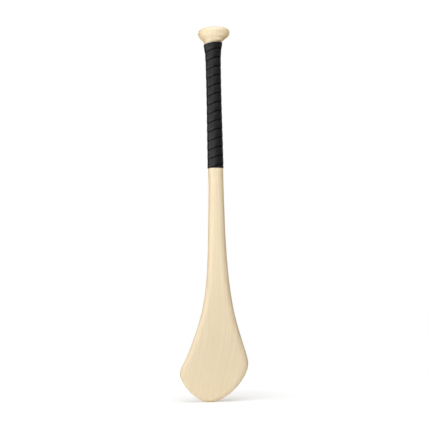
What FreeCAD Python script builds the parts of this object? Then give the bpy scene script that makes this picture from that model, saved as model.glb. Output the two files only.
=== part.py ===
import FreeCAD, Part
import math
import os
import Sketcher

# Hurley, standing upright on its toe as a stick is shown for sale.
# Millimetres. Z runs up the handle, the front face looks along -Y and the toe points to -X.
# The origin is the middle of the grip, on the axis of the handle.

Vector = FreeCAD.Vector

# Sizes that can be changed one at a time
SIZES = {
    # lengths along the handle axis
    "grip_length": 241.5,
    "shaft_length": 436.75,
    "straight_length": 36.75,
    "knob_height": 29.1,
    # bas outline, from the handle axis and from the lowest point of the toe
    "toe_reach": 75.3,
    "toe_corner_height": 50.0,
    "toe_tip_offset": 20.6,
    "heel_reach": 52.6,
    "heel_corner_height": 69.3,
    # thickness of the bas and the roll of its rim
    "toe_thickness": 9.6,
    "bas_thickness": 17.0,
    "bas_flat_height": 170.0,
    "toe_roll": 7.0,
    "bas_roll": 10.0,
    "handle_roll": 12.0,
    # bare handle, and the core that is relieved under the grip
    "handle_width": 28.6,
    "handle_depth": 22.4,
    "core_foot_width": 26.1,
    "core_waist_width": 24.4,
    "neck_width": 32.0,
    "core_depth_share": 0.74,
    # butt knob: reach to each side of the handle axis
    "knob_toe_reach": 27.8,
    "knob_heel_reach": 32.6,
    "grip_top_rise": 4.4,
    # grip strip
    "tape_thickness": 1.3,
    "tape_edge": 0.35,
    "tape_pitch": 17.16,
    "tape_overlap": 4.2,
    "tape_lift": 8.6,
    "tape_sway": 1.4,
    "turn_gap": 0.53,
    "first_seam_height": 3.35,
    "seat_gap": 0.3,
    # tacks
    "tack_head_diameter": 7.0,
    "tack_head_height": 1.3,
    "tack_head_rim": 0.35,
    "tack_shank_diameter": 1.4,
    "tack_length": 11.0,
    "tack_point": 2.0,
    "lower_tack_inset": 7.0,
    "upper_tack_inset": 11.0,
    "pilot_clearance": 0.05,
}

# Shape of the outline between its named corners, as shares of the way.
# Sides: share of the reach beyond the handle, share of the height from corner to shoulder.
TOE_SIDE_SHARES = [
    (0.022, 0.878), (0.046, 0.748), (0.102, 0.555), (0.215, 0.395),
    (0.400, 0.268), (0.633, 0.157), (0.863, 0.069),
]
HEEL_SIDE_SHARES = [
    (0.016, 0.869), (0.036, 0.732), (0.086, 0.594), (0.172, 0.458),
    (0.282, 0.356), (0.445, 0.254), (0.676, 0.152), (0.929, 0.051),
]
# Foot: share of the way from the toe tip out to the corner, share of the corner's height.
TOE_FOOT_SHARES = [(0.934, 0.778), (0.713, 0.440), (0.444, 0.176), (0.240, 0.050)]
HEEL_FOOT_SHARES = [
    (0.204, 0.035), (0.447, 0.162), (0.684, 0.369), (0.866, 0.605), (0.973, 0.841),
]

# Core under the grip: share of the waist's narrowing, share of the grip's length.
WAIST_SHARES = [(0.35, 0.23), (0.75, 0.39), (1.00, 0.56), (0.80, 0.78)]
# Core near its top, where it swells into the neck: share of the swelling, share of the length.
SWELL_SHARES = [(0.08, 0.865), (0.215, 0.908), (0.573, 0.952), (0.813, 0.974)]

# Knob rings from the neck to the crown: share of the reach beyond the neck and share of the
# knob's height, on the toe side and on the heel side.
KNOB_SHARES = [
    ((0.159, 0.134), (0.187, 0.051)), ((0.522, 0.280), (0.381, 0.168)),
    ((0.821, 0.425), (0.758, 0.341)), ((0.974, 0.570), (0.936, 0.500)),
    ((1.000, 0.682), (1.000, 0.671)), ((0.900, 0.787), (0.950, 0.780)),
    ((0.672, 0.879), (0.827, 0.875)), ((0.215, 0.946), (0.545, 0.944)),
    ((-0.422, 0.983), (-0.001, 0.982)), ((-1.143, 0.997), (-0.373, 0.997)),
]

POINTS_PER_TURN = 16


document = FreeCAD.newDocument("hurley")


def make_sheet():
    """The spreadsheet of driving sizes, one named cell each."""
    sheet = document.addObject("Spreadsheet::Sheet", "sizes")
    for row, (name, value) in enumerate(SIZES.items(), start=1):
        sheet.set("A%d" % row, name)
        sheet.set("B%d" % row, str(value))
        sheet.setAlias("B%d" % row, name)
    document.recompute()
    return sheet


sheet = make_sheet()


def size(name):
    return float(getattr(sheet, name))


grip_foot_z = -size("grip_length") / 2
grip_top_z = size("grip_length") / 2
toe_z = grip_foot_z - size("shaft_length")
crown_z = grip_top_z + size("knob_height")
handle_half = size("handle_width") / 2
shoulder_height = size("shaft_length") - size("straight_length")
tape_width = size("tape_pitch") + size("tape_overlap")


def chord_parameters(points):
    """Parameters that grow with the distance between the points."""
    parameters = [0.0]
    for start, end in zip(points, points[1:]):
        parameters.append(parameters[-1] + start.distanceToPoint(end))
    return parameters


def spline(points, parameters, first_tangent=None, last_tangent=None):
    curve = Part.BSplineCurve()
    options = {"Points": points, "Parameters": parameters}
    if first_tangent:
        options["InitialTangent"] = first_tangent
        options["FinalTangent"] = last_tangent
    curve.interpolate(**options)
    return curve


# Ash stick, below the grip

def outline_points():
    """Outline in the XZ plane, from the handle down the toe side and up the heel side."""
    shoulder_z = toe_z + shoulder_height
    tip_x = -size("toe_tip_offset")

    def side(sign, reach, corner, share, rise):
        x = sign * (handle_half + share * (reach - handle_half))
        return Vector(x, 0, toe_z + corner + rise * (shoulder_height - corner))

    def foot(corner_x, corner, share, rise):
        return Vector(tip_x + share * (corner_x - tip_x), 0, toe_z + rise * corner)

    toe_reach, toe_corner = size("toe_reach"), size("toe_corner_height")
    heel_reach, heel_corner = size("heel_reach"), size("heel_corner_height")
    toe_side = [side(-1, toe_reach, toe_corner, *shares) for shares in TOE_SIDE_SHARES]
    heel_side = [side(1, heel_reach, heel_corner, *shares) for shares in HEEL_SIDE_SHARES]
    toe_foot = [foot(-toe_reach, toe_corner, *shares) for shares in TOE_FOOT_SHARES]
    heel_foot = [foot(heel_reach, heel_corner, *shares) for shares in HEEL_FOOT_SHARES]
    return ([Vector(-handle_half, 0, grip_foot_z), Vector(-handle_half, 0, shoulder_z)]
            + toe_side
            + [Vector(-toe_reach, 0, toe_z + toe_corner)]
            + toe_foot
            + [Vector(tip_x, 0, toe_z)]
            + heel_foot
            + [Vector(heel_reach, 0, toe_z + heel_corner)]
            + heel_side[::-1]
            + [Vector(handle_half, 0, shoulder_z), Vector(handle_half, 0, grip_foot_z)])


def half_thickness(z):
    """Half the thickness at a height: a straight taper on the bas, then a smooth rise."""
    height = z - toe_z
    toe_half, bas_half = size("toe_thickness") / 2, size("bas_thickness") / 2
    flat = size("bas_flat_height")
    slope = (bas_half - toe_half) / flat
    if height <= flat:
        return toe_half + slope * height
    span = size("shaft_length") - flat
    share = min(1.0, (height - flat) / span)
    rise = size("handle_depth") / 2 - bas_half
    ease = share * share * (3 - 2 * share)
    start = share * (1 - share) ** 2
    return bas_half + ease * rise + start * slope * span


def roll_width(z):
    """How far the rounding of the rim reaches in from the outline at a height."""
    height = z - toe_z
    corner = size("toe_corner_height")
    if height < corner:
        share = max(0.0, height / corner)
        return size("toe_roll") + share * (size("bas_roll") - size("toe_roll"))
    share = min(1.0, (height - corner) / (shoulder_height - corner))
    return size("bas_roll") + share * (size("handle_roll") - size("bas_roll"))


def inner_poles(curve):
    """The outline's poles moved in by the width of the roll, square to the outline."""
    knots = [k for k, m in zip(curve.getKnots(), curve.getMultiplicities()) for _ in range(m)]
    poles = []
    for index, pole in enumerate(curve.getPoles()):
        parameter = sum(knots[index + 1:index + 1 + curve.Degree]) / curve.Degree
        tangent = curve.tangent(parameter)[0]
        inward = Vector(-tangent.z, 0, tangent.x)
        poles.append(pole + inward * roll_width(pole.z))
    return poles


def quarter_face(start, corner, end, layout):
    """Quarter ellipse from one row of poles to another, carried along their spline."""
    knots, multiplicities, degree = layout
    rows = [start, corner, end]
    weights = [[weight] * len(start) for weight in (1, math.sqrt(0.5), 1)]
    surface = Part.BSplineSurface()
    surface.buildFromPolesMultsKnots(rows, [3, 3], multiplicities, [0, 1], knots,
                                     False, False, 2, degree, weights)
    return surface.toShape()


def quarter_edge(start, corner, end):
    curve = Part.BSplineCurve()
    curve.buildFromPolesMultsKnots([start, corner, end], [3, 3], [0, 1], False, 2,
                                   [1, math.sqrt(0.5), 1])
    return curve.toShape()


def row_edge(poles, layout):
    knots, multiplicities, degree = layout
    curve = Part.BSplineCurve()
    curve.buildFromPolesMultsKnots(poles, multiplicities, knots, False, degree)
    return curve.toShape()


def at_face(poles, side):
    """The poles moved out to the front face (side -1) or the back face (side 1)."""
    return [Vector(pole.x, side * half_thickness(pole.z), pole.z) for pole in poles]


def cross_parameter(curve, z, first, last):
    """The parameter where the outline passes a height, between two parameters."""
    rising = curve.value(last).z > curve.value(first).z
    for _ in range(60):
        middle = (first + last) / 2
        if (curve.value(middle).z < z) == rising:
            first = middle
        else:
            last = middle
    return (first + last) / 2


def blade_faces():
    """Faces of the bas, the shoulder and the bare handle, and the rim of its top."""
    points = outline_points()
    parameters = chord_parameters(points)
    outline = spline(points, parameters, Vector(0, 0, -1), Vector(0, 0, 1))
    tip = parameters[len(TOE_SIDE_SHARES) + len(TOE_FOOT_SHARES) + 3]
    flat_z = toe_z + size("bas_flat_height")
    toe_cut = cross_parameter(outline, flat_z, 0.0, tip)
    heel_cut = cross_parameter(outline, flat_z, tip, parameters[-1])
    rows = []
    faces = []
    for first, last in ((0.0, toe_cut), (toe_cut, heel_cut), (heel_cut, parameters[-1])):
        part = outline.copy()
        part.segment(first, last)
        layout = (part.getKnots(), part.getMultiplicities(), part.Degree)
        outer, inner = part.getPoles(), inner_poles(part)
        rows.append((outer, inner, layout))
        for side in (-1, 1):
            faces.append(quarter_face(at_face(inner, side), at_face(outer, side), outer, layout))
    for side in (-1, 1):
        toe_edge, bas_edge, heel_edge = [row_edge(at_face(inner, side), layout)
                                         for outer, inner, layout in rows]
        closing = Part.makeLine(bas_edge.valueAt(bas_edge.LastParameter),
                                bas_edge.valueAt(bas_edge.FirstParameter))
        faces.append(Part.Face(Part.Wire([bas_edge, closing])))
        heel_edge.reverse()
        faces.append(Part.makeRuledSurface(toe_edge, heel_edge))
    top_edges = []
    for side in (-1, 1):
        corners = []
        for outer, inner, end in ((rows[0][0], rows[0][1], 0), (rows[2][0], rows[2][1], -1)):
            start, corner = at_face([inner[end], outer[end]], side)
            top_edges.append(quarter_edge(start, corner, outer[end]))
            corners.append(start)
        top_edges.append(Part.makeLine(*corners))
    return faces, top_edges


# Ash stick, under the grip and the knob

def core_rings():
    """Pairs of points, toe side and heel side, up the core and round the knob."""
    foot = size("core_foot_width") / 2
    waist = size("core_waist_width") / 2
    neck = size("neck_width") / 2
    length = size("grip_length")
    half_rise = size("grip_top_rise") / 2
    rings = [(Vector(-foot, 0, grip_foot_z), Vector(foot, 0, grip_foot_z))]
    for narrowing, share in WAIST_SHARES:
        half = foot + narrowing * (waist - foot)
        z = grip_foot_z + share * length
        rings.append((Vector(-half, 0, z), Vector(half, 0, z)))
    shoulder_half = foot + WAIST_SHARES[-1][0] * (waist - foot)
    for swelling, share in SWELL_SHARES:
        half = shoulder_half + swelling * (neck - shoulder_half)
        z = grip_foot_z + share * length
        rings.append((Vector(-half, 0, z), Vector(half, 0, z)))
    toe_neck = Vector(-neck, 0, grip_top_z - half_rise)
    heel_neck = Vector(neck, 0, grip_top_z + half_rise)
    rings.append((toe_neck, heel_neck))
    toe_room = size("knob_toe_reach") - neck
    heel_room = size("knob_heel_reach") - neck
    for (toe_share, toe_rise), (heel_share, heel_rise) in KNOB_SHARES:
        toe = Vector(-neck - toe_share * toe_room, 0,
                     toe_neck.z + toe_rise * (crown_z - toe_neck.z))
        heel = Vector(neck + heel_share * heel_room, 0,
                      heel_neck.z + heel_rise * (crown_z - heel_neck.z))
        rings.append((toe, heel))
    return rings


def core_faces():
    """Faces of the core, the neck and the knob, and the rim of the core's foot."""
    rings = core_rings()
    parameters = chord_parameters([toe for toe, heel in rings])
    toe_line = spline([toe for toe, heel in rings], parameters)
    heel_line = spline([heel for toe, heel in rings], parameters)
    layout = (toe_line.getKnots(), toe_line.getMultiplicities(), toe_line.Degree)
    toe_poles, heel_poles = toe_line.getPoles(), heel_line.getPoles()
    faces = []
    foot_edges = []
    crown_edges = []
    for side in (-1, 1):
        depths = []
        for toe, heel in zip(toe_poles, heel_poles):
            half_depth = size("core_depth_share") * toe.distanceToPoint(heel) / 2
            depths.append(Vector(0, side * half_depth, 0))
        middle = [(toe + heel) / 2 + depth
                  for toe, heel, depth in zip(toe_poles, heel_poles, depths)]
        for line in (toe_poles, heel_poles):
            corner = [pole + depth for pole, depth in zip(line, depths)]
            faces.append(quarter_face(line, corner, middle, layout))
            foot_edges.append(quarter_edge(line[0], corner[0], middle[0]))
            crown_edges.append(quarter_edge(line[-1], corner[-1], middle[-1]))
    faces.append(Part.Face(Part.Wire(Part.sortEdges(crown_edges)[0])))
    return faces, foot_edges


def stick_solid():
    """The one piece of ash: both skins joined by the flat step under the grip."""
    blade, top_edges = blade_faces()
    core, foot_edges = core_faces()
    outer_rim = Part.Wire(Part.sortEdges(top_edges)[0])
    inner_rim = Part.Wire(Part.sortEdges(foot_edges)[0])
    step = Part.makeFace([outer_rim, inner_rim], "Part::FaceMakerBullseye")
    shell = Part.makeShell(blade + core + [step])
    shell.sewShape()
    solid = Part.makeSolid(shell)
    if solid.Volume < 0:
        solid.reverse()
    return solid


# Grip strip, wound up the handle like a right-hand screw, each turn lapped over the one below

def seat_line():
    """Half width that the grip lies on, as a curve in the XZ plane that goes on past both ends."""
    rings = core_rings()[:len(WAIST_SHARES) + len(SWELL_SHARES) + 2]
    points = [Vector(heel.x, 0, toe.z) for toe, heel in rings]
    beyond = 3 * size("tape_pitch")
    below = Vector(points[0].x, 0, points[0].z - beyond)
    slope = (points[-1].x - points[-2].x) / (points[-1].z - points[-2].z)
    above = Vector(points[-1].x + slope * beyond, 0, points[-1].z + beyond)
    points = [below] + points + [above]
    return spline(points, chord_parameters(points))


seat = seat_line()


def seat_half(z):
    first, last = seat.FirstParameter, seat.LastParameter
    return seat.value(cross_parameter(seat, z, first, last)).x


def winding_point(turn, along, off):
    """Point of the strip: turns round the handle, way up the strip's width, height off the core."""
    angle = 2 * math.pi * turn
    z = grip_foot_z + size("first_seam_height") + (turn + 0.25) * size("tape_pitch") + along
    z -= size("tape_sway") * math.sin(2 * angle)
    half = seat_half(z)
    return Vector((half + off) * math.cos(angle),
                  (size("core_depth_share") * half + off) * math.sin(angle), z)


def tape_section():
    """Corners of the strip's section: way up its width, height off the core."""
    seat_gap, edge = size("seat_gap"), size("tape_edge")
    top = seat_gap + size("tape_thickness")
    lap = top + size("turn_gap")
    return [(size("tape_lift"), seat_gap), (tape_width, seat_gap), (tape_width, seat_gap + edge),
            (size("tape_pitch"), top), (0.0, lap + edge), (0.0, lap)]


def winding_turns():
    """First and last turn of the strip before its ends are cut, both at the back."""
    pitch = size("tape_pitch")
    below = math.ceil((size("first_seam_height") + tape_width + size("tape_sway")) / pitch)
    above = math.ceil((size("grip_length") + size("grip_top_rise") + size("tape_sway")) / pitch)
    return 0.25 - below, 0.25 + above


def winding_solid():
    """The whole strip as one solid, ruled between the curves of its section's corners."""
    first, last = winding_turns()
    count = round((last - first) * POINTS_PER_TURN)
    turns = [first + index / POINTS_PER_TURN for index in range(count + 1)]
    curves = []
    for along, off in tape_section():
        curves.append(spline([winding_point(turn, along, off) for turn in turns], turns))
    faces = []
    for index in range(round(last - first)):
        edges = []
        for curve in curves:
            part = curve.copy()
            part.segment(first + index, first + index + 1)
            edges.append(part.toShape())
        for edge, neighbour in zip(edges, edges[1:] + edges[:1]):
            faces.append(Part.makeRuledSurface(edge, neighbour))
    for turn in (first, last):
        corners = [winding_point(turn, along, off) for along, off in tape_section()]
        faces.append(Part.Face(Part.makePolygon(corners + corners[:1])))
    shell = Part.makeShell(faces)
    shell.sewShape()
    solid = Part.makeSolid(shell)
    if solid.Volume < 0:
        solid.reverse()
    return solid


def distance_to_line(point, start, end):
    way = end - start
    share = max(0.0, min(1.0, (point - start).dot(way) / way.dot(way)))
    return point.distanceToPoint(start + way * share)


def least_turn_gap():
    """Least distance between a turn and the one lapped over it, measured on points."""
    samples = 8
    section = tape_section()
    under = section[1:4]
    over = [section[4], section[5], section[0], section[1]]
    least = size("tape_pitch")
    first, last = winding_turns()
    for step in range(round((last - first - 2) * samples)):
        turn = first + 0.5 + step / samples
        lower = [winding_point(turn, *corner) for corner in under]
        upper = [winding_point(turn + 1, *corner) for corner in over]
        for start, end in zip(lower, lower[1:]):
            for share in range(samples + 1):
                point = start + (end - start) * (share / samples)
                for a, b in zip(upper, upper[1:]):
                    least = min(least, distance_to_line(point, a, b))
    return least


def tape_top(z):
    """Height of the grip's surface off the core at the back, where the tacks are."""
    pitch = size("tape_pitch")
    seam = grip_foot_z + size("first_seam_height") + pitch / 2
    share = (z - seam) / pitch % 1.0
    edge = size("turn_gap") + size("tape_edge")
    return size("seat_gap") + size("tape_thickness") + (1 - share) * edge


# Tacks, driven into the back of the handle through the grip

def tack_seat(z):
    """Where the underside of a tack's head lies, just off the grip."""
    head = size("tack_head_diameter") / 2
    surface = max(tape_top(z - head), tape_top(z), tape_top(z + head))
    depth = size("core_depth_share") * seat_half(z + head)
    return Vector(0, depth + surface + size("seat_gap"), z)


def origin_plane(body, role):
    return [feature for feature in body.Origin.OriginFeatures if feature.Role == role][0]


def tack_profile(sketch):
    """Half profile of a tack: point, shank, underside of the head, its rim and its dome."""
    head, height = size("tack_head_diameter") / 2, size("tack_head_height")
    shank, length = size("tack_shank_diameter") / 2, size("tack_length")
    shoulder, rim = length - size("tack_point"), size("tack_head_rim")
    corners = [Vector(0, -length, 0), Vector(shank, -shoulder, 0), Vector(shank, 0, 0),
               Vector(head, 0, 0), Vector(head, rim, 0)]
    for start, end in zip(corners, corners[1:]):
        sketch.addGeometry(Part.LineSegment(start, end), False)
    rise = height - rim
    dome = (head * head + rise * rise) / (2 * rise)
    centre = Vector(0, height - dome, 0)
    circle = Part.Circle(centre, Vector(0, 0, 1), dome)
    edge_angle = math.atan2(rim - centre.y, head)
    sketch.addGeometry(Part.ArcOfCircle(circle, edge_angle, math.pi / 2), False)
    sketch.addGeometry(Part.LineSegment(Vector(0, height, 0), corners[0]), False)
    point_line, shank_line, under_line, rim_line, arc, axis_line = range(6)
    start, end, middle = 1, 2, 3
    horizontal_axis, vertical_axis, origin = -1, -2, -1
    loop = [point_line, shank_line, under_line, rim_line, arc, axis_line, point_line]
    for line, following in zip(loop, loop[1:]):
        sketch.addConstraint(Sketcher.Constraint("Coincident", line, end, following, start))
    sketch.addConstraint(Sketcher.Constraint("Vertical", shank_line))
    sketch.addConstraint(Sketcher.Constraint("Horizontal", under_line))
    sketch.addConstraint(Sketcher.Constraint("Vertical", rim_line))
    for line, place in ((axis_line, start), (axis_line, end), (arc, middle)):
        sketch.addConstraint(Sketcher.Constraint("PointOnObject", line, place, vertical_axis))
    sketch.addConstraint(Sketcher.Constraint("PointOnObject", shank_line, end, horizontal_axis))
    sized = [
        ("DistanceX", origin, start, shank_line, end, shank, "tack_shank_diameter / 2"),
        ("DistanceX", origin, start, rim_line, start, head, "tack_head_diameter / 2"),
        ("DistanceY", axis_line, end, origin, start, length, "tack_length"),
        ("DistanceY", shank_line, start, origin, start, shoulder, "tack_length - sizes.tack_point"),
        ("DistanceY", rim_line, start, rim_line, end, rim, "tack_head_rim"),
        ("DistanceY", origin, start, axis_line, start, height, "tack_head_height"),
    ]
    for kind, first, first_place, second, second_place, value, formula in sized:
        index = sketch.addConstraint(
            Sketcher.Constraint(kind, first, first_place, second, second_place, value))
        sketch.setExpression("Constraints[%d]" % index, "sizes." + formula)


def make_tack(label, position):
    """Round-headed tack: its axis runs out of the back of the handle."""
    body = document.addObject("PartDesign::Body", label + "_body")
    body.Label = label
    sketch = body.newObject("Sketcher::SketchObject", label + "_profile")
    sketch.AttachmentSupport = [(origin_plane(body, "XZ_Plane"), "")]
    sketch.MapMode = "FlatFace"
    tack_profile(sketch)
    turned = body.newObject("PartDesign::Revolution", label + "_turned")
    turned.Profile = sketch
    turned.ReferenceAxis = (sketch, ["V_Axis"])
    turned.Angle = 360
    body.Placement = FreeCAD.Placement(position, FreeCAD.Rotation(Vector(1, 0, 0), -90))
    return body


# Cutting tools

def tack_bore(name, position, clearance):
    """Cylinder round a tack's shank, from its head inward."""
    bore = document.addObject("Part::Cylinder", name)
    bore.setExpression("Radius", "sizes.tack_shank_diameter / 2 + sizes." + clearance)
    bore.setExpression("Height", "sizes.tack_length + sizes.seat_gap")
    bore.Placement = FreeCAD.Placement(position, FreeCAD.Rotation(Vector(1, 0, 0), 90))
    return bore


def trim_block(name, base, rotation):
    """Block far wider than the grip, standing on a middle point."""
    block = document.addObject("Part::Box", name)
    for side in ("Length", "Width", "Height"):
        block.setExpression(side, "sizes.handle_width * 4")
    middle = Vector(2 * size("handle_width"), 2 * size("handle_width"), 0)
    block.Placement = FreeCAD.Placement(base - rotation.multVec(middle), rotation)
    return block


def cut(label, base, tools):
    """The base less each tool in turn; the last cut carries the label."""
    for tool in tools:
        less = document.addObject("Part::Cut", label + "_less_" + tool.Name)
        less.Base = base
        less.Tool = tool
        base = less
    base.Label = label
    return base


# The parts

tack_seats = {
    "lower_tack": tack_seat(grip_foot_z + size("lower_tack_inset")),
    "upper_tack": tack_seat(grip_top_z - size("upper_tack_inset")),
}

blank = document.addObject("Part::Feature", "stick_blank")
blank.Shape = stick_solid()
pilots = [tack_bore(name + "_pilot", place, "pilot_clearance")
          for name, place in tack_seats.items()]
ash_stick = cut("ash_stick", blank, pilots)

winding = document.addObject("Part::Feature", "winding")
winding.Shape = winding_solid()
foot_block = trim_block("foot_block", Vector(0, 0, grip_foot_z + size("seat_gap")),
                        FreeCAD.Rotation(Vector(1, 0, 0), 180))
top_tilt = math.degrees(math.atan2(size("grip_top_rise"), size("neck_width")))
top_block = trim_block("top_block", Vector(0, 0, grip_top_z - 2 * size("seat_gap")),
                       FreeCAD.Rotation(Vector(0, 1, 0), -top_tilt))
openings = [tack_bore(name + "_opening", place, "seat_gap")
            for name, place in tack_seats.items()]
grip_tape = cut("grip_tape", winding, [foot_block, top_block] + openings)

tacks = [make_tack(name, place) for name, place in tack_seats.items()]
pieces = [ash_stick, grip_tape] + tacks
document.recompute()


# Checks, then one file for each part

for item in document.Objects:
    if {"Invalid", "Error"} & set(item.State):
        raise RuntimeError("%s failed: %s" % (item.Name, item.State))
for piece in pieces:
    shape = piece.Shape
    if shape.isNull() or not shape.isValid() or len(shape.Solids) != 1:
        raise RuntimeError("%s is not one valid solid" % piece.Label)

turn_gap = least_turn_gap()
if turn_gap < 0.4:
    raise RuntimeError("turns of the grip are %.2f mm apart" % turn_gap)
print("least gap between turns of the grip: %.2f mm" % turn_gap)

os.makedirs("parts", exist_ok=True)
for piece in pieces:
    piece.Shape.exportStep(os.path.join("parts", piece.Label + ".step"))
    print("%-10s %9.1f mm3" % (piece.Label, piece.Shape.Volume))
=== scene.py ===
import math

import bmesh
import bpy
from mathutils import Matrix, Vector, noise
from mathutils.bvhtree import BVHTree


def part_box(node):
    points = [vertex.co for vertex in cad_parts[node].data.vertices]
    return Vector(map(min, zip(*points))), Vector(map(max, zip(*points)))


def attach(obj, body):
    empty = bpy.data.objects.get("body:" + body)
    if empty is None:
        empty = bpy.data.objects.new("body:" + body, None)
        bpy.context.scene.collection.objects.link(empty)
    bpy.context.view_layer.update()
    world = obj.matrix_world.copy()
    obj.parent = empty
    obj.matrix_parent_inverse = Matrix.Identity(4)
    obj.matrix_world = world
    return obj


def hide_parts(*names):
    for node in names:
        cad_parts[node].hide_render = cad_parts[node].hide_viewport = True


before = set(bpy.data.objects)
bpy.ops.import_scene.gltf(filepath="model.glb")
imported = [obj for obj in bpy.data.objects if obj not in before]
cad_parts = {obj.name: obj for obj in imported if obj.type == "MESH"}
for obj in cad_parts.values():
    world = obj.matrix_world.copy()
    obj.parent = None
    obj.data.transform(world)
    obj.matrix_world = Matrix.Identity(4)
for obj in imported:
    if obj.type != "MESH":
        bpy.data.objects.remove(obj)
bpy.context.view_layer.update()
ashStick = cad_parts["ash_stick"]
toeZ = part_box("ash_stick")[0].z
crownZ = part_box("ash_stick")[1].z
gripLow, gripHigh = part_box("grip_tape")
mm = 0.001
middle = 0.5  # what a noise texture gives on average
print("frame loaded, toe at %.4f m and crown at %.4f m" % (toeZ, crownZ))


# shader maths: a socket that takes Python's own signs
class Link:
    def __init__(self, finish, socket):
        self.finish, self.socket = finish, socket

    def maths(self, operation, *others):
        inputs = dict(enumerate((self,) + others))
        return self.finish.node("Math", {"operation": operation}, inputs)

    def __add__(self, other):
        return self.maths("ADD", other)

    def __sub__(self, other):
        return self.maths("SUBTRACT", other)

    def __mul__(self, other):
        return self.maths("MULTIPLY", other)

    def __rsub__(self, other):
        return self.finish.node("Math", {"operation": "SUBTRACT"}, {0: other, 1: self})

    def __abs__(self):
        return self.maths("ABSOLUTE")

    __radd__, __rmul__ = __add__, __mul__


class Finish:
    def __init__(self, name):
        self.material = bpy.data.materials.new(name)
        self.material.use_nodes = True
        self.nodes = self.material.node_tree.nodes
        self.links = self.material.node_tree.links
        self.nodes.clear()

    # any node: its type, its settings, then its sockets by name or number
    def node(self, kind, settings=None, inputs=None, output=0):
        made = self.nodes.new("ShaderNode" + kind)
        for name, value in (settings or {}).items():
            setattr(made, name, value)
        for name, value in (inputs or {}).items():
            if isinstance(value, Link):
                self.links.new(value.socket, made.inputs[name])
            else:
                made.inputs[name].default_value = value
        return Link(self, made.outputs[output]) if made.outputs else None

    def place(self):
        return self.node("TexCoord", output="Object")

    def attribute(self, name):
        return self.node("Attribute", {"attribute_name": name}, output="Fac")

    def parts(self, vector):
        split = self.node("SeparateXYZ", inputs={0: vector}).socket.node
        return [Link(self, socket) for socket in split.outputs]

    def joined(self, x, y, z):
        return self.node("CombineXYZ", inputs={"X": x, "Y": y, "Z": z})

    def length(self, vector):
        return self.node("VectorMath", {"operation": "LENGTH"}, {0: vector}, output="Value")

    def grain(self, vector, scale, detail, roughness):
        return self.node("TexNoise", inputs={"Vector": vector, "Scale": scale,
                                             "Detail": detail, "Roughness": roughness})

    # how far a value has gone from one mark to another, eased
    def step(self, value, start, end, low=0.0, high=1.0):
        return self.node("MapRange", {"interpolation_type": "SMOOTHSTEP"},
                         {"Value": value, "From Min": start, "From Max": end,
                          "To Min": low, "To Max": high})

    def blend(self, share, first, second):
        return self.node("Mix", {"data_type": "RGBA"}, {0: share, 6: first, 7: second}, output=2)

    def bump(self, height, distance, strength, under=None):
        inputs = {"Height": height, "Distance": distance, "Strength": strength}
        if under:
            inputs["Normal"] = under
        return self.node("Bump", inputs=inputs)

    def surface(self, **sockets):
        named = {name.replace("_", " "): value for name, value in sockets.items()}
        return self.node("BsdfPrincipled", inputs=named)

    def close(self, shader):
        self.node("OutputMaterial", inputs={"Surface": shader})
        return self.material


def tone(red, green, blue):
    return (red, green, blue, 1.0)


# Ash: straight rings that sweep towards the toe, rows of pores, a satin lacquer
ash = {
    "pale": tone(0.87, 0.75, 0.54),
    "warm": tone(0.81, 0.64, 0.40),
    "pore": tone(0.56, 0.40, 0.22),
    "rim": tone(0.62, 0.43, 0.20),  # darker on the end grain of the crown and toe, partly painted shade there, and painted shade round the side edges that turn away from the front
    "sweepHeight": 190 * mm,  # the grain is straight above this height over the toe
    "sweepReach": 28.5 * mm,  # and this far over at the toe itself
    "heart": (-0.27, 0.06),  # middle of the tree, far outside the stick
    "ring": 5.0 * mm,
    # noises: scale, detail and roughness, and how far each is drawn out along the stick
    "wander": (11.0, 1.0, 0.5),
    "wanderAlong": 0.22,
    "wanderReach": 12 * mm,  # how far the rings wander
    "streak": (620.0, 3.0, 0.6),
    "streakAlong": 0.016,
    "cloud": (26.0, 2.0, 0.5),
    "cloudAlong": 0.35,
    "pores": (2300.0, 1.0, 0.5),
    "poresAlong": 0.03,
    "year": {"Scale": 1.0, "Detail": 1.5, "Roughness": 0.6},
    "yearPace": 0.85,
    # the marks between which each one fades in, or out for the last two
    "yearMarks": (0.36, 0.66),
    "patchMarks": (0.3, 0.7),
    "poreMarks": (0.60, 0.70),
    "endMarks": (0.52, 0.92),
    "earlyMarks": (0.0, 0.42),
    "sideMarks": (0.35, 0.96),
    # how much of the warm, pore or rim tone each one brings
    "yearShare": 0.30,
    "earlyShare": 0.32,
    "streakShare": 0.30,
    "cloudShare": 0.16,
    "poreShare": 0.36,
    "latePores": 0.15,  # pores in the late wood, as a share of those in the early wood
    "sideShare": 0.56,
    "endShare": 0.50,
    "roughness": 0.40,
    "streakRoughness": 0.12,
    "poreRoughness": 0.10,
    "poreRelief": (0.06 * mm, 0.5),  # depth and strength
    "streakRelief": (0.05 * mm, 0.4),
    "lacquer": {"Coat_Weight": 0.18, "Coat_Roughness": 0.22, "Specular_IOR_Level": 0.45},
}


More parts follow.
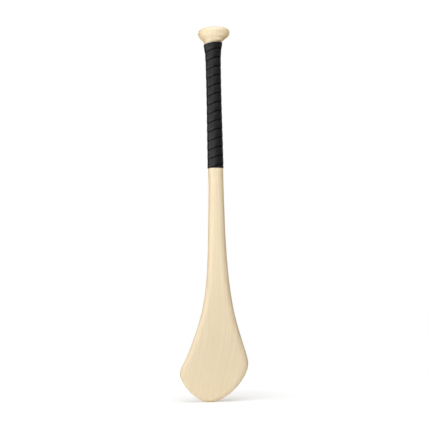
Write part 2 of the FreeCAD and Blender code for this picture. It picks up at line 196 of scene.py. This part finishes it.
def ashFinish():
    finish = Finish("ash_lacquered")
    x, y, z = finish.parts(finish.place())
    low = finish.step(z, toeZ, toeZ + ash["sweepHeight"], 1.0, 0.0)
    across = x + low * low * ash["sweepReach"]

    def drawnOut(name):
        return finish.grain(finish.joined(across, y, z * ash[name + "Along"]), *ash[name])

    wander = drawnOut("wander") - middle
    heartX, heartY = ash["heart"]
    radius = finish.length(finish.joined(across - heartX, y - heartY, 0.0))
    ring = (radius + wander * ash["wanderReach"]) * (1 / ash["ring"])
    year = finish.node("TexNoise", {"noise_dimensions": "1D"},
                       {"W": ring * ash["yearPace"], **ash["year"]})
    early = finish.step(ring.maths("FRACT"), *ash["earlyMarks"], 1.0, 0.0)
    streak = drawnOut("streak")
    cloud = drawnOut("cloud")
    pores = finish.step(drawnOut("pores"), *ash["poreMarks"])
    poreRow = pores * (early * (1 - ash["latePores"]) + ash["latePores"])

    warmth = (finish.step(year, *ash["yearMarks"]) * ash["yearShare"]
              + early * ash["earlyShare"]
              + finish.step(streak, *ash["patchMarks"]) * ash["streakShare"]
              + finish.step(cloud, *ash["patchMarks"]) * ash["cloudShare"])
    colour = finish.blend(warmth, ash["pale"], ash["warm"])
    colour = finish.blend(poreRow * ash["poreShare"], colour, ash["pore"])
    # painted shade: the rim tone darkens the edges that face sideways, away from the front, and
    # the crown and toe ends, where real end grain is darker too
    facing = finish.parts(finish.node("TexCoord", output="Normal"))
    side = finish.step(abs(facing[1]), *ash["sideMarks"], 1.0, 0.0)
    end = finish.step(abs(facing[2]), *ash["endMarks"])
    endGrainAndRimShade = side * ash["sideShare"] + end * ash["endShare"]
    colour = finish.blend(endGrainAndRimShade, colour, ash["rim"])

    roughness = (ash["roughness"] + (streak - middle) * ash["streakRoughness"]
                 + poreRow * ash["poreRoughness"])
    relief = finish.bump(1 - poreRow, *ash["poreRelief"])
    relief = finish.bump(streak, *ash["streakRelief"], under=relief)
    return finish.close(finish.surface(Base_Color=colour, Roughness=roughness, Normal=relief,
                                       **ash["lacquer"]))


# Grip: soft black strip with a fine leather grain, paler where it is rubbed
grip = {
    "black": tone(0.004, 0.004, 0.0042),
    "rubbed": tone(0.012, 0.012, 0.0118),
    "pitch": 17.16 * mm,
    "firstSeam": 3.05 * mm,  # over the foot of the grip
    "endGap": 0.30 * mm,  # the CAD strip starts this far over the foot
    "topRise": 3.9 * mm,  # the top is cut on the skew, higher on the heel side
    "topDrop": 1.6 * mm,  # how far the cut lies under the top corner of the CAD strip
    "topArch": 0.8 * mm,  # and bows up over the broad faces
    "archFrom": 14 * mm,  # the bow starts this far under the cut
    "neckWidth": 32.0 * mm,
    "neckFlare": 0.13,  # how fast the neck widens above the cut
    "bar": 20 * mm,  # the strip is first wound on a plain round bar of this radius
    "stepsPerTurn": 96,
    "spareTurns": 3,
    "startBelow": 1.75,  # turns under the first seam at which the winding starts
    "turnLength": 74 * mm,  # what one turn takes of the strip
    "sway": 0.4 * mm,  # the strip climbs faster across the broad faces than round the edges
    "outside": 1.4 * mm,  # all that is further off the wood shows
    "mean": 2.0 * mm,  # the lips lie flatter towards this round the narrow edges
    "flatter": 0.45,
    "uneven": 0.05 * mm,
    "unevenRound": 2.0,  # how fast the unevenness changes round the handle
    "unevenAlong": 20.0,  # and along the strip
    # the strip's section: way up its width and height off the wood, in mm
    "section": ((0.0, 1.55), (0.15, 1.72), (0.5, 1.88), (1.1, 2.07), (1.9, 2.26), (2.8, 2.42),
                (3.8, 2.52), (4.8, 2.55), (6.6, 2.52), (9.4, 2.40), (12.2, 2.22), (14.8, 2.02),
                (16.6, 1.84), (17.4, 1.62), (20.8, 0.70), (21.1, 0.15), (8.6, 0.15),
                (5.2, 0.35), (3.6, 0.95), (0.4, 1.45)),
    "sameTurn": 0.01 * mm,  # points of one turn and the next that are one
    "sameCut": 0.001 * mm,  # points of a cut and its cap that are one
    "onCut": 0.0001 * mm,
    "sharp": 38,  # degrees between faces from which an edge is sharp
    # noises: scale, detail and roughness
    "pebble": {"Scale": 1500.0, "Smoothness": 0.6},
    "crease": (1900.0, 3.0, 0.6),
    "creaseAlong": 0.5,
    "cloud": (110.0, 3.0, 0.55),
    "rubMarks": (0.42, 0.72),
    "rubShare": 0.35,
    "roughness": 0.40,
    "cloudRoughness": 0.14,
    "creaseRoughness": 0.10,
    "pebbleRelief": (0.10 * mm, 0.45),  # depth and strength
    "creaseRelief": (0.08 * mm, 0.35),
    "gloss": 0.42,
    # a matt black without gloss along the strip's lower edge: partly the bare foam of the cut
    # edge, partly painted shade, as it widens towards the heel side, away from the key light, and
    # lies under the next turn's lip
    "bareEdgeAndShade": (1.6 * mm, 4.2 * mm),
    "heelShadeMarks": (-11 * mm, 3 * mm),  # places across the stick between which the painted shade widens
    "bareAndShadeSoft": 0.35,  # share of that width which is wholly matt
    "lipShadeReach": 1.2 * mm,  # and the painted shade under the next turn's lip
    "bareAndShadeShare": 0.85,
}


def gripFinish():
    finish = Finish("grip_polyurethane")
    run, rise = finish.attribute("run"), finish.attribute("rise")
    place = finish.joined(run, rise, 0.0)
    pebble = finish.node("TexVoronoi", {"feature": "SMOOTH_F1"},
                         {"Vector": place, **grip["pebble"]}, output="Distance")
    crease = finish.grain(finish.joined(run * grip["creaseAlong"], rise, 0.0), *grip["crease"])
    cloud = finish.grain(place, *grip["cloud"])
    rub = finish.step(cloud, *grip["rubMarks"]) * grip["rubShare"]
    colour = finish.blend(rub, grip["black"], grip["rubbed"])
    roughness = (grip["roughness"] + (cloud - middle) * grip["cloudRoughness"]
                 + (crease - middle) * grip["creaseRoughness"])
    relief = finish.bump(pebble, *grip["pebbleRelief"])
    relief = finish.bump(crease, *grip["creaseRelief"], under=relief)
    skin = finish.surface(Base_Color=colour, Roughness=roughness, Normal=relief,
                          Specular_IOR_Level=grip["gloss"])
    # painted shade: a matt black without gloss stands in for the shade along the lips and under
    # the next turn
    mattFoamAndShade = finish.surface(Base_Color=grip["black"], Roughness=1.0, Specular_IOR_Level=0.0)
    across = finish.parts(finish.place())[0]
    wide = finish.step(across, *grip["heelShadeMarks"], *grip["bareEdgeAndShade"])
    lowEdgeAndShade = finish.step(rise, wide * grip["bareAndShadeSoft"], wide, 1.0, 0.0)
    shadeUnderLip = finish.step(rise, grip["pitch"] - grip["lipShadeReach"], grip["pitch"])
    bareFoamAndShade = (lowEdgeAndShade + shadeUnderLip) * grip["bareAndShadeShare"]
    return finish.close(finish.node("MixShader", inputs={0: bareFoamAndShade, 1: skin, 2: mattFoamAndShade}))


# the skew plane at the top of the grip: its height at a place across the stick
topSlope = grip["topRise"] / grip["neckWidth"]
topMiddle = gripHigh.z - topSlope * gripHigh.x - grip["topDrop"]


def topCut(x):
    return topMiddle + topSlope * x


# how far the wood under the grip reaches from the axis of the handle
def woodReach(tree, way, z):
    ceiling = topCut(-grip["neckWidth"] / 2 if way.x else 0.0)
    start = Vector((0.0, 0.0, min(max(z, gripLow.z), ceiling)))
    return tree.ray_cast(start, way)[3] + max(0.0, z - ceiling) * grip["neckFlare"]


# one turn of the strip round the bar, copied up as often as the grip is long
def woundStrip():
    bm = bmesh.new()
    height = bm.verts.layers.float.new("height")
    rise = bm.verts.layers.float.new("rise")
    run = bm.verts.layers.float.new("run")
    pitch, perTurn = grip["pitch"], grip["stepsPerTurn"]
    turns = math.ceil((gripHigh.z - gripLow.z) / pitch) + grip["spareTurns"]
    startZ = gripLow.z - grip["endGap"] + grip["firstSeam"] - grip["startBelow"] * pitch
    corners = []
    for along, off in grip["section"]:
        corner = bm.verts.new((grip["bar"] + off * mm, 0.0, startZ + along * mm))
        corner[rise] = along * mm
        corners.append(corner)
    profile = [bm.edges.new(pair) for pair in zip(corners, corners[1:] + corners[:1])]
    bmesh.ops.spin(bm, geom=corners + profile, cent=(0, 0, 0), axis=(0, 0, 1),
                   dvec=(0, 0, pitch / perTurn), angle=2 * math.pi,
                   steps=perTurn, use_duplicate=False)
    oneTurn = bm.verts[:] + bm.edges[:] + bm.faces[:]
    for turn in range(1, turns):
        copied = bmesh.ops.duplicate(bm, geom=oneTurn)["geom"]
        points = [item for item in copied if isinstance(item, bmesh.types.BMVert)]
        bmesh.ops.translate(bm, verts=points, vec=(0, 0, turn * pitch))
    bmesh.ops.remove_doubles(bm, verts=bm.verts, dist=grip["sameTurn"])
    for vert in bm.verts:
        vert[height] = math.hypot(vert.co.x, vert.co.y) - grip["bar"]
        vert[run] = (vert.co.z - startZ - vert[rise]) / pitch * grip["turnLength"]
    return bm, height, run


# everything on the far side of a plane goes
def cutOff(bm, point, outwards):
    everything = bm.verts[:] + bm.edges[:] + bm.faces[:]
    bmesh.ops.bisect_plane(bm, geom=everything, dist=grip["onCut"], plane_co=point,
                           plane_no=outwards, clear_outer=True)


# the strip is drawn in from the bar to the wood, cut at both ends and capped
def makeGrip():
    bm, height, run = woundStrip()
    print("grip wound: %d points" % len(bm.verts))
    stick = bmesh.new()
    stick.from_mesh(ashStick.data)
    tree = BVHTree.FromBMesh(stick)
    toeWay, frontWay = Vector((-1, 0, 0)), Vector((0, -1, 0))
    for vert in bm.verts:
        angle = math.atan2(vert.co.y, vert.co.x)
        cosine, sine = math.cos(angle), math.sin(angle)
        z = vert.co.z - grip["sway"] * math.sin(2 * angle)
        off = vert[height]
        if off > grip["outside"]:
            off += (grip["mean"] - off) * grip["flatter"] * cosine * cosine
        if off > grip["outside"]:
            place = Vector((cosine * grip["unevenRound"], sine * grip["unevenRound"],
                            vert[run] * grip["unevenAlong"]))
            off += grip["uneven"] * noise.noise(place)
        wide = woodReach(tree, toeWay, z)
        deep = woodReach(tree, frontWay, z)
        vert.co = Vector(((wide + off) * cosine, (deep + off) * sine, z))
    stick.free()
    cutOff(bm, (0, 0, gripLow.z), (0, 0, -1))
    cutOff(bm, (0, 0, topMiddle), Vector((-topSlope, 0, 1)).normalized())
    for vert in bm.verts:
        bow = max(0.0, 1 - (topCut(vert.co.x) - vert.co.z) / grip["archFrom"])
        angle = math.atan2(vert.co.y, vert.co.x)
        vert.co.z += grip["topArch"] * math.sin(angle) ** 2 * bow * bow
    for low in (True, False):
        ends = [edge for edge in bm.edges if edge.is_boundary and (edge.verts[0].co.z < 0) == low]
        bmesh.ops.triangle_fill(bm, edges=ends, use_beauty=True)
    bmesh.ops.remove_doubles(bm, verts=bm.verts, dist=grip["sameCut"])
    bmesh.ops.recalc_face_normals(bm, faces=bm.faces)
    finishPiece(bm, "wound_grip", gripFinish(), "grip_tape")


# a finished bmesh becomes a piece of the object, in place of a CAD node
def finishPiece(bm, name, material, node):
    openEdges = sum(1 for edge in bm.edges if not edge.is_manifold)
    mesh = bpy.data.meshes.new(name)
    bm.to_mesh(mesh)
    bm.free()
    piece = bpy.data.objects.new(name, mesh)
    bpy.context.scene.collection.objects.link(piece)
    mesh.shade_smooth()
    mesh.set_sharp_from_angle(angle=math.radians(grip["sharp"]))
    mesh.materials.append(material)
    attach(piece, "root")
    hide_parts(node)
    print("%s: %d faces, %d open edges" % (name, len(mesh.polygons), openEdges))


# Tacks: bright steel with fine scratches and duller patches
steel = {
    "bright": tone(0.62, 0.61, 0.59),
    "dull": tone(0.42, 0.41, 0.39),
    # noises: scale, detail and roughness
    "scratch": (3200.0, 2.0, 0.5),
    "scratchAlong": 0.3,
    "cloud": (420.0, 2.0, 0.5),
    "dullMarks": (0.4, 0.7),
    "dullShare": 0.6,
    "roughness": 0.24,
    "roughMarks": (0.35, 0.75),
    "roughMore": 0.22,
    "scratchRelief": (0.02 * mm, 0.4),  # depth and strength
}


def steelFinish():
    finish = Finish("tack_steel_bright")
    place = finish.place()
    x, y, z = finish.parts(place)
    scratch = finish.grain(finish.joined(x, y * steel["scratchAlong"], z), *steel["scratch"])
    cloud = finish.grain(place, *steel["cloud"])
    dulled = finish.step(cloud, *steel["dullMarks"]) * steel["dullShare"]
    colour = finish.blend(dulled, steel["bright"], steel["dull"])
    roughness = steel["roughness"] + finish.step(cloud, *steel["roughMarks"]) * steel["roughMore"]
    relief = finish.bump(scratch, *steel["scratchRelief"])
    return finish.close(finish.surface(Base_Color=colour, Metallic=1.0, Roughness=roughness,
                                       Normal=relief))


def dressNode(name, material):
    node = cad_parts[name]
    node.data.materials.clear()
    node.data.materials.append(material)
    print("dressed %s" % name)


dressNode("ash_stick", ashFinish())
makeGrip()
tackFinish = steelFinish()
for name in ("lower_tack", "upper_tack"):
    dressNode(name, tackFinish)


# Studio: a pale floor that fades out round the toe, and soft boxes
studio = {
    "floorReach": 1.8,
    "floorTone": tone(0.96, 0.96, 0.96),
    # painted light: a glow that only the camera sees on top of the floor's own light, weaker near
    # the toe so that the shadow there stays, stronger far from it
    "nearGlow": 0.13,
    "farGlow": 0.45,
    "glowMarks": (0.08, 0.50),
    "fadeMarks": (0.34, 0.66),  # the floor fades out between these distances
    "worldTone": tone(1.0, 1.0, 1.0),
    "worldLight": 0.13,
    "aim": (0.0, 0.0, -0.20),
    # azimuth to the left of the front, elevation, distance, width, height and radiance
    "boxes": {
        "key": (70, 8, 1.7, 1.0, 1.1, 2.3),
        "front": (24, 8, 1.7, 1.3, 1.1, 1.1),
        "waist": (20, -10, 1.7, 1.1, 0.9, 1.7),
        "high": (18, 48, 1.7, 1.3, 1.0, 1.2),
        "highRight": (-45, 50, 1.7, 1.1, 1.0, 0.9),
        "lowRight": (-50, -42, 1.4, 1.2, 0.9, 3.8),
        "lowLeft": (60, -42, 1.4, 1.0, 0.9, 3.8),
        "top": (0, 80, 1.5, 1.6, 1.4, 2.5),
        "back": (170, 10, 1.8, 1.6, 1.4, 1.6),
        "rim": (-125, 10, 1.8, 1.2, 1.2, 0.5),
    },
}


def makeFloor():
    bm = bmesh.new()
    bmesh.ops.create_grid(bm, x_segments=1, y_segments=1, size=studio["floorReach"])
    bmesh.ops.translate(bm, verts=bm.verts, vec=(0, 0, toeZ))
    mesh = bpy.data.meshes.new("floor")
    bm.to_mesh(mesh)
    bm.free()
    floor = bpy.data.objects.new("floor", mesh)
    bpy.context.scene.collection.objects.link(floor)
    finish = Finish("floor_white")
    x, y = finish.parts(finish.place())[:2]
    reach = finish.length(finish.joined(x, y, 0.0))
    seen = finish.node("LightPath", output="Is Camera Ray")
    # painted light: the camera alone sees this glow, dimmer round the toe
    glow = seen * finish.step(reach, *studio["glowMarks"], studio["nearGlow"], studio["farGlow"])
    paint = finish.surface(Base_Color=studio["floorTone"], Roughness=1.0, Specular_IOR_Level=0.0,
                           Emission_Strength=1.0, Emission_Color=glow)
    clear = finish.node("BsdfTransparent")
    gone = finish.step(reach, *studio["fadeMarks"])
    mesh.materials.append(finish.close(finish.node("MixShader", inputs={0: gone, 1: paint,
                                                                        2: clear})))


def makeLight():
    world = bpy.data.worlds.new("studio")
    bpy.context.scene.world = world
    world.use_nodes = True
    nodes, links = world.node_tree.nodes, world.node_tree.links
    seen = nodes.new("ShaderNodeLightPath")
    level = nodes.new("ShaderNodeMapRange")
    level.inputs["To Min"].default_value = studio["worldLight"]
    level.inputs["To Max"].default_value = 1.0
    links.new(seen.outputs["Is Camera Ray"], level.inputs["Value"])
    links.new(level.outputs[0], nodes["Background"].inputs["Strength"])
    nodes["Background"].inputs["Color"].default_value = studio["worldTone"]
    for name, (azimuth, elevation, distance, width, tall, radiance) in studio["boxes"].items():
        box = bpy.data.lights.new(name, "AREA")
        box.shape, box.size, box.size_y = "RECTANGLE", width, tall
        box.energy = radiance * math.pi * width * tall
        lamp = bpy.data.objects.new(name, box)
        turn = (Matrix.Rotation(math.radians(-azimuth), 4, "Z")
                @ Matrix.Rotation(math.radians(90 - elevation), 4, "X"))
        away = Matrix.Translation((0, 0, distance))
        lamp.matrix_world = Matrix.Translation(studio["aim"]) @ turn @ away
        bpy.context.scene.collection.objects.link(lamp)


# Camera: the photo's view, a little below the middle and looking up
view = {
    "place": (-3.07 * mm, -1698.6 * mm, -330.8 * mm),
    "pitch": 4.1,
    "roll": 1.3,
    "focalPixels": 902.0,
    "photoPixels": 430.0,
    "sensor": 36.0,
    "nearest": 0.05,
}


def makeCamera():
    data = bpy.data.cameras.new("camera")
    data.sensor_width = view["sensor"]
    data.lens = view["sensor"] * view["focalPixels"] / view["photoPixels"]
    data.clip_start = view["nearest"]
    camera = bpy.data.objects.new("camera", data)
    turn = (Matrix.Rotation(math.radians(90 + view["pitch"]), 4, "X")
            @ Matrix.Rotation(math.radians(-view["roll"]), 4, "Z"))
    camera.matrix_world = Matrix.Translation(view["place"]) @ turn
    bpy.context.scene.collection.objects.link(camera)
    bpy.context.scene.camera = camera
    bpy.context.scene.view_settings.view_transform = "Standard"


makeFloor()
makeLight()
makeCamera()
print("studio ready")
